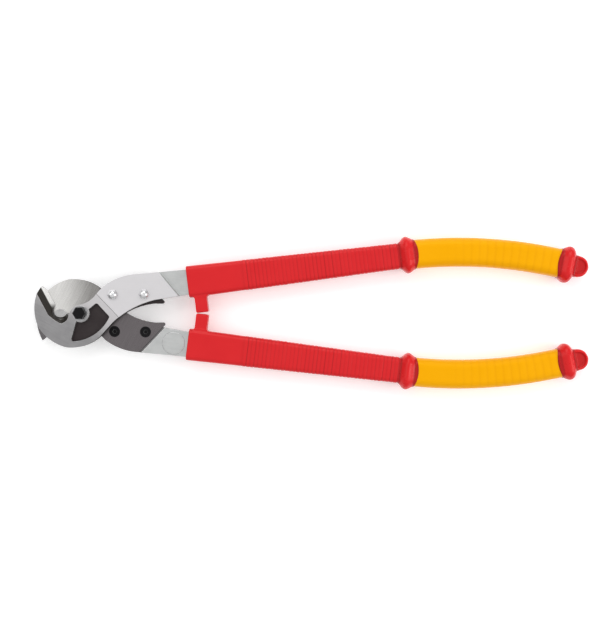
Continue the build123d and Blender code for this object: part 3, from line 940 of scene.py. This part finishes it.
@dataclass
class Sleeve:
    """Red outer sleeve: tapered, ribbed across, with the stop that meets the other sleeve."""

    line: HandleLine
    length: float = 231.3 * MM
    mouth: Section = Section(34.4 * MM, 17.0 * MM, 5.0 * MM)
    guard: Section = SLEEVE_END
    rim: float = 1.2 * MM
    quarter_steps: int = 4              # steps in a rounding of 90 degrees
    rib_start: float = 61.2 * MM
    rib_pitch: float = 4.22 * MM
    rib_count: int = 40
    rib_height: float = 0.4 * MM
    groove_half: float = 1.05 * MM
    rings_per_rib: int = 8
    plain_stations: tuple[float, ...] = (30 * MM, 40 * MM, 50 * MM, 58 * MM)
    wall: float = 2.6 * MM
    mouth_depth: float = 3.0 * MM
    inner_start: float = 0.3 * MM
    stop_station: float = 12.1 * MM
    stop_half: float = 6.5 * MM
    stop_reach: float = 34.67 * MM
    stop_steps: int = 6                 # rings of the sleeve across the stop
    stop_shares: Span = (0.35, 0.7)     # places of the rings along the stop's shaft
    stop_fillet: float = 2.4 * MM
    stop_flare: float = 0.5 * MM        # how far the fillet widens the stop upwards
    stop_round: float = 1.8 * MM
    corner_share: float = 0.32          # part of the sleeve's corners that the stop takes up

    def section(self, station: float, extra: float = 0.0) -> Section:
        """The sleeve's section at a station, made larger by extra."""
        return self.mouth.towards(self.guard, station / self.length).grown(extra)

    def ring(self, station: float, extra: float = 0.0) -> Ring:
        """Vertices' places round the sleeve at a station."""
        points = self.section(station, extra).points()
        return [self.line.at(station, side, height) for side, height in points]

    def unlike(self, number: int) -> tuple[float, float]:
        """Makes each rib a little unlike the next, as a dipped coat comes out.

        Args:
            number: number of the rib.

        Returns:
            Share of the full height, and how dark the painted shade in its hollow is.
        """
        height = 0.7 + 0.3 * sin(number * 2.4) * cos(number * 0.9)
        # how dark the painted shade in this rib's hollow is
        depth = 0.15 + 0.7 * sin(number * 1.7) ** 2 * (0.6 + 0.4 * cos(number * 0.31))
        return height, depth

    def rib(self, station: float) -> tuple[float, float]:
        """Relief of the ribs at a station.

        Args:
            station: distance from the mouth.

        Returns:
            Height above the plain sleeve, and the painted shade there, darkest in the hollows
            between ribs.
        """
        along = station - self.rib_start
        if not 0 <= along <= self.rib_count * self.rib_pitch:
            return 0.0, 0.0
        number = int(along / self.rib_pitch)
        phase = along - number * self.rib_pitch
        rise = smooth_step(min(phase, self.rib_pitch - phase), 0.0, self.groove_half)
        height, depth = self.unlike(number)
        return self.rib_height * rise * height, (1 - rise) * depth

    def stations(self) -> list[float]:
        """Lists the stations of the rings, close together where the sleeve is ribbed.

        Returns:
            The stations, from the mouth on.
        """
        half = self.stop_half + self.stop_fillet
        first, step = self.stop_station - half, 2 * half / self.stop_steps
        stop = [first + step * index for index in range(self.stop_steps + 1)]
        rib_step = self.rib_pitch / self.rings_per_rib
        count = self.rib_count * self.rings_per_rib
        ribs = [self.rib_start + rib_step * index for index in range(count + 1)]
        return [*stop, *self.plain_stations, *ribs, self.length]

    def quarter(self) -> list[float]:
        """Angles of the steps of a rounding, in radians."""
        return [radians(90 * step / self.quarter_steps) for step in range(self.quarter_steps + 1)]

    def stop_profile(self, depth: float) -> list[tuple[float, float]]:
        """Outline of the stop from the sleeve's side to its rounded end.

        Args:
            depth: how far the stop stands out.

        Returns:
            Distance out and extra half width of each ring.
        """
        turns = self.quarter()
        fillet, end = self.stop_fillet, self.stop_round
        foot = [(fillet * (1 - cos(turn)), fillet * (1 - sin(turn))) for turn in turns[1:]]
        shaft = [(depth * share, 0.0) for share in self.stop_shares]
        tip = [(depth - end * (1 - sin(turn)), -end * (1 - cos(turn))) for turn in turns]
        return foot + shaft + tip

    def grow_stop(self, sweep: Sweep) -> None:
        """Grows the stop out of the side that faces the other handle.

        Args:
            sweep: the sleeve so far.
        """
        mesh = sweep.mesh
        middle = self.line.at(self.stop_station, 0, 0)
        ahead = (self.line.at(self.stop_station + MM, 0, 0) - middle).normalized()
        inwards = (self.line.at(self.stop_station, -MM, 0) - middle).normalized()
        reach_along = self.stop_half + self.stop_fillet + MARGIN
        section = self.section(self.stop_station)
        start = section.width / 2
        faces = []
        for face in mesh.faces:
            away = face.calc_center_median() - middle
            near = abs(away.dot(ahead)) < reach_along
            outer = away.dot(inwards) > start - self.corner_share * section.radius
            if near and outer and len(face.verts) == 4:
                faces.append(face)
        upright = section.thickness / 2 - section.radius * (1 - sin(radians(45)))
        for out, widen in self.stop_profile(self.stop_reach - start):
            made = bmesh.ops.extrude_face_region(mesh, geom=faces)["geom"]
            bmesh.ops.delete(mesh, geom=faces, context="FACES_ONLY")
            faces = [g for g in made if isinstance(g, bmesh.types.BMFace)]
            verts = [g for g in made if isinstance(g, bmesh.types.BMVert)]
            spread = max(abs((v.co - middle).dot(ahead)) for v in verts)
            tall = max(abs(v.co.z - middle.z) for v in verts)
            along_scale = (self.stop_half + widen) / spread
            high = min(self.stop_half, upright) + min(widen, self.stop_flare)
            high_scale = high / tall
            for vertex in verts:
                away = vertex.co - middle
                vertex.co = (
                    middle
                    + ahead * away.dot(ahead) * along_scale
                    + inwards * (start + out)
                    + Vector((0, 0, away.z * high_scale))
                )

    def build(self, half: Half) -> bpy.types.Object:
        """Builds the sleeve of one half.

        Args:
            half: which half.

        Returns:
            The finished piece.
        """
        sweep = Sweep(self.ring(self.mouth_depth, -self.wall))
        sweep.grow(self.ring(self.inner_start, -self.wall))
        for turn in self.quarter():
            sweep.grow(self.ring(self.rim * (1 - cos(turn)), -self.rim * (1 - sin(turn))))
        for station in self.stations():
            height, painted_shade = self.rib(station)
            sweep.grow(self.ring(station, height), painted_shade)
        sweep.close()
        self.grow_stop(sweep)
        bmesh.ops.recalc_face_normals(sweep.mesh, faces=sweep.mesh.faces)
        return finish_piece(
            f"{half.value}_red_sleeve", sweep.mesh, half, [RED_COAT],
            (half.node("sleeve"),), half.body, sharp=60,
        )


@dataclass
class Grip:
    """Yellow grip from the guard collar to the end cap, along the bend of the handle."""

    line: HandleLine
    start: float = 240.0 * MM
    tail: float = 20.0 * MM
    section: Section = GRIP_SECTION
    wave_pitch: float = 8.6 * MM
    wave_depth: float = 0.14 * MM
    wave_fade: Span = (24.0 * MM, 96.0 * MM)    # where the waves come up to full depth
    wave_sharpness: int = 6
    wave_shade: float = 0.35
    step: float = 1.2 * MM

    def ring(self, station: float) -> tuple[Ring, float]:
        """Gives a ring of the grip, with its shallow waves.

        Args:
            station: where it lies on the handle.

        Returns:
            The vertices' places, and the painted shade there, darkest in each wave's trough.
        """
        along = station - self.start
        wave = (0.5 + 0.5 * cos(tau * along / self.wave_pitch)) ** self.wave_sharpness
        wave *= smooth_step(along, *self.wave_fade)
        section = self.section.grown(-self.wave_depth * wave)
        points = section.points(corner_steps=9, wide_steps=12, high_steps=4)
        places = [self.line.at(station, side, height) for side, height in points]
        # painted shade, darkest in each wave's trough
        return places, wave * self.wave_shade

    def build(self, half: Half) -> bpy.types.Object:
        """Builds the grip of one half.

        Args:
            half: which half.

        Returns:
            The finished piece.
        """
        length = self.line.bend_end + self.tail - self.start
        count = int(length / self.step)
        sweep = Sweep(self.ring(self.start)[0])
        for index in range(1, count + 1):
            places, painted_shade = self.ring(self.start + length * index / count)
            sweep.grow(places, painted_shade)
        sweep.close()
        return finish_piece(
            f"{half.value}_yellow_grip", sweep.mesh, half, [YELLOW_COAT],
            (half.node("grip"),), half.body, sharp=60,
        )


@dataclass
class Guard:
    """A rounded guard ridge with a wavy lip over the grip: what collar and cap have in common."""

    line: HandleLine
    ridge_half: float = 8.0 * MM
    lip_bulge: float = 5.5 * MM         # how much further the lip reaches on the wide faces
    lip_shares: tuple[float, ...] = (0.25, 0.5, 0.75)
    lip_edge: float = 0.16              # part of the lip that its rounded edge takes up
    lip_steps: int = 4
    lip_tuck: float = 0.1 * MM          # how far the edge dips into the grip
    hidden_share: float = 0.9           # the last ring, out of sight in the grip
    hidden_depth: float = 0.6 * MM
    fullness: float = 1.5
    steps: int = 18
    foot_shade: float = 0.8
    foot_width: float = 2.6 * MM
    lip_shades: Span = (0.7, 0.9)       # painted shade of the lip's foot and of its edge

    def bump(self, offset: float) -> float:
        """Gives the share of the ridge's height.

        Args:
            offset: distance from the middle of the ridge.

        Returns:
            1 in the middle, 0 at the feet.
        """
        if abs(offset) >= self.ridge_half:
            return 0.0
        return cos(pi / 2 * offset / self.ridge_half) ** self.fullness

    def ridge_foot_shade(self, offset: float) -> float:
        """Painted shade at the two feet of the ridge."""
        away = abs(abs(offset) - self.ridge_half)
        return self.foot_shade * (1 - smooth_step(away, 0, self.foot_width))

    def lip_ring(self, middle: float, lip: float, share: float, extra: float, sign: int) -> Ring:
        """Ring of the lip, which reaches furthest in the middle of the wide faces.

        Args:
            middle: station of the ridge.
            lip: furthest reach of the lip from the ridge.
            share: 0 at the foot of the ridge, 1 at the edge of the lip.
            extra: height above the grip.
            sign: 1 for a lip ahead of the ridge, -1 for one behind it.

        Returns:
            Places round the lip.
        """
        places = []
        for side, height in GRIP_SECTION.grown(extra).points():
            reach = lip - self.lip_bulge * (side / (RIDGE_SECTION.width / 2)) ** 2
            offset = self.ridge_half + (reach - self.ridge_half) * share
            places.append(self.line.at(middle + sign * offset, side, height))
        return places

    def lip_rings(self, middle: float, lip: float, sign: int) -> list[Ring]:
        """Lists the rings of the lip, from the foot of the ridge to under its rounded edge.

        Args:
            middle: station of the ridge.
            lip: furthest reach of the lip from the ridge.
            sign: 1 for a lip ahead of the ridge, -1 for one behind it.

        Returns:
            The rings.
        """
        rings = [self.lip_ring(middle, lip, share, SKIN, sign) for share in self.lip_shares]
        for step in range(self.lip_steps + 1):
            turn = radians(90 * step / self.lip_steps)
            share = 1 - self.lip_edge * (1 - sin(turn))
            extra = SKIN * cos(turn) - self.lip_tuck * sin(turn)
            rings.append(self.lip_ring(middle, lip, share, extra, sign))
        rings.append(self.lip_ring(middle, lip, self.hidden_share, -self.hidden_depth, sign))
        return rings


@dataclass
class GuardCollar(Guard):
    """Red collar between sleeve and grip."""

    station: float = 239.7 * MM
    lip: float = 12.0 * MM
    foot: Section = SLEEVE_END
    foot_depth: float = 0.5 * MM        # of the collar's inner ring in the sleeve
    foot_inside: float = 1.0 * MM       # where that ring lies, ahead of the ridge's foot
    foot_edge: float = 0.6 * MM         # how far the collar's edge lies behind it
    foot_proud: float = 0.05 * MM
    # painted shade at the collar's edge, where it meets the sleeve
    edge_shade: float = 0.5

    def round(self, section: Section, offset: float) -> Ring:
        """Places round a section at an offset from the middle of the ridge."""
        station = self.station + offset
        return [self.line.at(station, side, height) for side, height in section.points()]

    def ring(self, offset: float) -> Ring:
        """Gives a ring of the ridge.

        Args:
            offset: distance past the middle of the ridge.

        Returns:
            The vertices' places.
        """
        share = smooth_step(offset, -self.ridge_half, self.ridge_half)
        base = self.foot.grown(SKIN).towards(GRIP_SECTION.grown(SKIN), share)
        return self.round(base.towards(RIDGE_SECTION, self.bump(offset)), offset)

    def build(self, half: Half) -> bpy.types.Object:
        """Builds the collar of one half.

        Args:
            half: which half.

        Returns:
            The finished piece.
        """
        inner = self.foot.grown(-self.foot_depth)
        sweep = Sweep(self.round(inner, self.foot_inside - self.ridge_half))
        edge = self.foot.grown(self.foot_proud)
        sweep.grow(self.round(edge, -self.ridge_half - self.foot_edge), self.edge_shade)
        for index in range(self.steps * 2 + 1):
            offset = self.ridge_half * (index / self.steps - 1)
            sweep.grow(self.ring(offset), self.ridge_foot_shade(offset))
        for index, ring in enumerate(self.lip_rings(self.station, self.lip, 1)):
            sweep.grow(ring, self.lip_shades[index > 1])
        sweep.close()
        return finish_piece(
            f"{half.value}_red_collar", sweep.mesh, half, [RED_GUARD],
            (half.node("guard_collar"),), half.body, sharp=80,
        )


@dataclass
class EndCap(Guard):
    """Red cap: lip, ridge and a flat knob with a sunken middle."""

    past_bend: float = 24.0 * MM
    lip: float = 12.0 * MM
    knob_length: float = 23.0 * MM
    knob_base: float = 26.5 * MM
    tip_radius: float = 11.5 * MM
    knob_thickness: float = 15.0 * MM
    knob_round: float = 4.0 * MM
    rim: float = 3.2 * MM
    rim_soft: float = 0.9 * MM
    recess_start: float = 1.5 * MM      # how far the recess reaches up the ridge
    recess: float = 2.4 * MM
    # painted shade in the knob's sunken middle
    recess_shade: float = 0.45
    flat_span: Span = (0.3, 0.42)       # shares of the thickness where the wide faces begin
    base_span: Span = (0.35, 1.02)      # shares of the ridge where grip turns into knob
    knob_steps: int = 44
    knob_end: float = 0.02 * MM         # the tip ends this much early, in a small ring
    least_width: float = 0.6 * MM
    dark_rings: int = 6                 # rings of the lip's rounded edge

    def knob_width(self, offset: float) -> float:
        """Gives the width of the knob.

        Args:
            offset: distance past the ridge.

        Returns:
            The width there, in metres.
        """
        centre = self.knob_length - self.tip_radius
        if offset <= centre:
            taper = (2 * self.tip_radius - self.knob_base) * max(offset, 0.0) / centre
            return self.knob_base + taper
        past = min(offset - centre, self.tip_radius)
        return 2 * sqrt(max(self.tip_radius**2 - past**2, 0.0))

    def knob_section(self, offset: float) -> Section:
        """Gives the section of the knob, thinner only in the rounding of its tip.

        Args:
            offset: distance past the ridge.

        Returns:
            The section.
        """
        past = max(0.0, offset - (self.knob_length - self.knob_round))
        fall = self.knob_round - sqrt(max(self.knob_round**2 - past**2, 0.0))
        width = max(self.knob_width(offset), self.least_width)
        return Section(width, self.knob_thickness - 2 * fall, self.knob_round)

    def sunken(self, offset: float, side: float) -> float:
        """Share of the recess at a place on the knob's wide faces.

        Args:
            offset: distance past the ridge.
            side: distance to the left of the handle's line.

        Returns:
            0 on the rim, 1 in the sunken middle.
        """
        centre = self.knob_length - self.tip_radius
        inside = self.knob_width(offset) / 2 - abs(side)
        if offset > centre:
            inside = self.tip_radius - hypot(offset - centre, side)
        from_ridge = offset - self.ridge_half + self.recess_start
        low, high = self.rim - self.rim_soft, self.rim + self.rim_soft
        return smooth_step(min(inside, from_ridge), low, high)

    def ring(self, middle: float, offset: float) -> tuple[Ring, list[float]]:
        """Places round the cap at an offset from its ridge, and the painted shade there.

        Args:
            middle: station of the ridge.
            offset: distance past the ridge.

        Returns:
            The ring's places and the painted shade of each.
        """
        base = GRIP_SECTION.grown(SKIN)
        if offset > 0:
            start, end = (share * self.ridge_half for share in self.base_span)
            base = base.towards(self.knob_section(offset), smooth_step(offset, start, end))
        section = base.towards(RIDGE_SECTION, self.bump(offset))
        start, end = (share * section.thickness for share in self.flat_span)
        places, painted_shades = [], []
        for side, height in section.points():
            dip = self.sunken(offset, side) if offset > 0 else 0.0
            dip *= smooth_step(abs(height), start, end)
            lowered = height - copysign(dip * self.recess, height)
            places.append(self.line.at(middle + offset, side, lowered))
            painted_shades.append(max(self.ridge_foot_shade(offset), self.recess_shade * dip))
        return places, painted_shades

    def build(self, half: Half) -> bpy.types.Object:
        """Builds the cap of one half.

        Args:
            half: which half.

        Returns:
            The finished piece.
        """
        middle = self.line.bend_end + self.past_bend
        rings = self.lip_rings(middle, self.lip, -1)[::-1]
        sweep = Sweep(rings[0])
        for index, ring in enumerate(rings[1:]):
            sweep.grow(ring, self.lip_shades[index < self.dark_rings])
        ridge = [self.ridge_half * (index / self.steps - 1) for index in range(self.steps + 1)]
        turns = [pi / 2 * index / self.knob_steps for index in range(1, self.knob_steps + 1)]
        knob = [(self.knob_length - self.knob_end) * sin(turn) for turn in turns]
        for offset in ridge + knob:
            sweep.grow(*self.ring(middle, offset))
        sweep.close()
        return finish_piece(
            f"{half.value}_red_cap", sweep.mesh, half, [RED_GUARD],
            (half.node("end_cap"),), half.body, sharp=80,
        )


# ---------------------------------------------------------------- Steel parts


@dataclass
class SteelPart:
    """A steel part made from its CAD shape, with its sharp edges broken and marked for wear."""

    edge_break: float = 0.3 * MM
    segments: int = 2
    sharp: float = 32.0         # angle in degrees above which an edge is broken
    flat: float = 0.6           # angle in degrees below which two faces become one
    weld: float = 0.002 * MM    # corners nearer than this become one

    def shape(self, node: str) -> bmesh.types.BMesh:
        """Copies a CAD node's shape and welds it.

        Args:
            node: name of the CAD node.

        Returns:
            The welded mesh, flat faces joined up.
        """
        mesh = bmesh.new()
        mesh.from_mesh(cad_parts[node].data)
        bmesh.ops.remove_doubles(mesh, verts=mesh.verts, dist=self.weld)
        flat = radians(self.flat)
        bmesh.ops.dissolve_limit(mesh, angle_limit=flat, verts=mesh.verts, edges=mesh.edges)
        return mesh

    def break_edges(
        self, mesh: bmesh.types.BMesh, keep: Callable[[bmesh.types.BMEdge], bool] | None = None
    ) -> None:
        """Rounds the sharp edges and marks the new faces for wear.

        Args:
            mesh: the part.
            keep: says whether an edge stays sharp.
        """
        wear = mesh.loops.layers.float.new("wear")
        edges = []
        for edge in mesh.edges:
            if len(edge.link_faces) != 2 or edge.calc_face_angle(0) < radians(self.sharp):
                continue
            if keep is None or not keep(edge):
                edges.append(edge)
        made = bmesh.ops.bevel(
            mesh, geom=edges, offset=self.edge_break, offset_type="OFFSET", affect="EDGES",
            segments=self.segments, profile=0.5, material=-1, clamp_overlap=True,
        )
        for face in made["faces"]:
            for corner in face.loops:
                corner[wear] = 1.0

    def weigh(self, piece: bpy.types.Object) -> bpy.types.Object:
        """Lets the large flat faces keep flat shading beside the broken edges.

        Args:
            piece: the finished piece.

        Returns:
            The same piece.
        """
        modifier = piece.modifiers.new("flat_faces", "WEIGHTED_NORMAL")
        modifier.keep_sharp = True
        return piece

    def build(self, node: str, body: str, finish: Finish, slot: str) -> bpy.types.Object:
        """Builds a part of one finish.

        Args:
            node: its CAD node.
            body: the rigid body that it rides on.
            finish: its finish.
            slot: not used.

        Returns:
            The finished piece.
        """
        mesh = self.shape(node)
        self.break_edges(mesh)
        return self.weigh(finish_piece(f"{node}_steel", mesh, None, [finish], (node,), body))


class JawFace(Enum):
    """Surfaces of a jaw that are finished differently, by material number."""

    OUTER = 0
    SLIDING = 1
    BEVEL = 2
    FORGED = 3


@dataclass
class Jaw(SteelPart):
    """Hooked jaw: ground outer face, polished shear face, bright edge, black forged sides."""

    edge_break: float = 0.5 * MM
    thickness: float = 10.0 * MM
    near: float = 0.5 * MM              # how near a face must be to a height to lie on it
    throat_limit: float = -11.5 * MM    # the bevel lies behind this, along X
    level: float = 0.99                 # least upward share of a level face's normal
    slant: Span = (0.1, 0.95)           # upward share of the bevel's normal

    def surface(self, half: Half, face: bmesh.types.BMFace) -> JawFace:
        """Says which surface of the jaw a face belongs to.

        Args:
            half: the half whose jaw it is.
            face: the face.

        Returns:
            The surface.
        """
        middle = half.own(face.calc_center_median())
        normal = half.own(face.normal, is_place=False)
        height = middle.z - SHEAR
        if abs(normal.z) > self.level:
            if height > self.thickness - self.near:
                return JawFace.OUTER
            return JawFace.SLIDING if height < self.near else JawFace.FORGED
        is_slanted = self.slant[0] < normal.z < self.slant[1]
        if is_slanted and middle.x < self.throat_limit:
            return JawFace.BEVEL
        return JawFace.FORGED

    def make(self, half: Half) -> bpy.types.Object:
        """Builds the jaw of one half.

        Args:
            half: which half.

        Returns:
            The finished piece.
        """
        node = half.node("jaw")
        mesh = self.shape(node)
        for face in mesh.faces:
            face.material_index = self.surface(half, face).value

        def on_shear_plane(edge: bmesh.types.BMEdge) -> bool:
            """True for an edge that lies near the shear plane."""
            return all(abs(vertex.co.z - SHEAR) < MM for vertex in edge.verts)

        self.break_edges(mesh, on_shear_plane)
        looks = [GROUND_JAW, SHEAR_JAW, EDGE_JAW, FORGED_JAW]
        piece = finish_piece(
            f"{half.value}_jaw_steel", mesh, None, looks, (node,), half.body,
        )
        return self.weigh(piece)


@dataclass
class Fasteners:
    """Pivot set, jaw screws and domed nuts."""

    parts: SteelPart = field(default_factory=lambda: SteelPart(edge_break=0.22 * MM))

    def build(self) -> None:
        """Builds every fastener on its body."""
        pivot = Half.LOWER.body
        self.parts.build("pivot_bolt", pivot, BLACK_OXIDE, "bolt_black")
        self.parts.build("pivot_nut", pivot, BLACK_OXIDE, "bolt_black")
        self.parts.build("pivot_bush", pivot, OILED_STEEL, "bush_steel")
        for half in Half:
            self.parts.build(half.node("pivot_washer"), pivot, DULL_ZINC, "washer_plating")
            self.parts.build(half.node("jaw_screws"), half.body, BLACK_OXIDE, "black_oxide")
            self.parts.build(half.node("screw_nuts"), half.body, BRIGHT_NUT, "bright_plating")


# ---------------------------------------------------------------- Studio


@dataclass
class Studio:
    """Pale floor, soft lights, and a camera that looks straight down."""

    aim: Span = (245.6 * MM, 4.5 * MM)
    distance: float = 1100.0 * MM
    width_seen: float = 670.5 * MM
    sensor: float = 36.0
    near_limit: float = 0.05
    floor_size: float = 6.0
    floor_shade: float = 0.93
    floor_rough: float = 0.9
    floor_glow: float = 0.24
    room_glow: Span = (0.36, 0.84)      # at the horizon and overhead
    overhead: float = 0.85              # upward share of a direction that counts as overhead

    def light(
        self, name: str, place: tuple[float, float, float], size: float, power: float
    ) -> None:
        """Adds a square soft light that faces the tool.

        Args:
            name: name of the light.
            place: where it hangs, in metres.
            size: length of its side.
            power: its power in watts.
        """
        lamp = bpy.data.lights.new(name, "AREA")
        lamp.shape = "SQUARE"
        lamp.size = size
        lamp.energy = power
        holder = bpy.data.objects.new(name, lamp)
        holder.location = place
        towards = Vector((*self.aim, SHEAR)) - Vector(place)
        holder.rotation_mode = "QUATERNION"
        holder.rotation_quaternion = towards.to_track_quat("-Z", "Y")
        bpy.context.scene.collection.objects.link(holder)

    def room(self) -> None:
        """Lights the tool from all round, more from overhead, before a white backdrop."""
        world = bpy.data.worlds.new("soft_white")
        world.use_nodes = True
        sheet = NodeSheet(world.node_tree)
        background = world.node_tree.nodes["Background"]
        background.inputs["Color"].default_value = WHITE
        axes = sheet.axes(sheet.add("ShaderNodeTexCoord").outputs["Generated"])
        glow = sheet.ramp(axes[2], 0.0, self.overhead, to=self.room_glow)
        seen = sheet.add("ShaderNodeLightPath").outputs["Is Camera Ray"]
        sheet.feed(background.inputs["Strength"], sheet.sum("MAXIMUM", glow, seen))
        bpy.context.scene.world = world

    def floor(self) -> None:
        """Lays the pale floor, which glows a little so that it comes out white."""
        mesh = bmesh.new()
        bmesh.ops.create_grid(mesh, x_segments=1, y_segments=1, size=self.floor_size)
        data = bpy.data.meshes.new("floor")
        mesh.to_mesh(data)
        mesh.free()
        pale = bpy.data.materials.new("pale_floor")
        pale.use_nodes = True
        surface = pale.node_tree.nodes["Principled BSDF"]
        surface.inputs["Base Color"].default_value = (*(self.floor_shade,) * 3, 1.0)
        surface.inputs["Roughness"].default_value = self.floor_rough
        surface.inputs["Emission Color"].default_value = WHITE
        surface.inputs["Emission Strength"].default_value = self.floor_glow
        data.materials.append(pale)
        floor = bpy.data.objects.new("floor", data)
        bpy.context.scene.collection.objects.link(floor)

    def camera(self) -> None:
        """Hangs the camera over the tool, looking straight down."""
        lens = bpy.data.cameras.new("camera")
        lens.sensor_width = self.sensor
        lens.sensor_fit = "HORIZONTAL"
        lens.lens = self.sensor * self.distance / self.width_seen
        lens.clip_start = self.near_limit
        camera = bpy.data.objects.new("camera", lens)
        camera.location = (*self.aim, SHEAR + self.distance)
        bpy.context.scene.collection.objects.link(camera)
        bpy.context.scene.camera = camera

    def build(self) -> None:
        """Adds floor, room light, lights and camera, in that order."""
        self.floor()
        self.room()
        bpy.context.scene.view_settings.view_transform = "Standard"
        self.light("far_softbox", (0.1, 1.7, 1.4), size=1.7, power=15.0)
        self.light("left_softbox", (-1.4, 0.5, 1.3), size=1.3, power=5.0)
        self.light("right_softbox", (1.9, -0.3, 1.1), size=1.2, power=12.0)
        self.camera()


def main() -> None:
    """Builds studio, handles and steel parts, in that order."""
    logging.basicConfig(level=logging.INFO, format="%(name)s: %(message)s")
    Studio().build()
    line = HandleLine()
    bar = SteelPart(edge_break=0.4 * MM)
    for half in Half:
        Sleeve(line).build(half)
        Grip(line).build(half)
        GuardCollar(line).build(half)
        EndCap(line).build(half)
        Jaw().make(half)
        bar.build(half.node("handle_bar"), half.body, PLATED_BAR, "bar_plating")
    Fasteners().build()


if __name__ == "__main__":
    main()
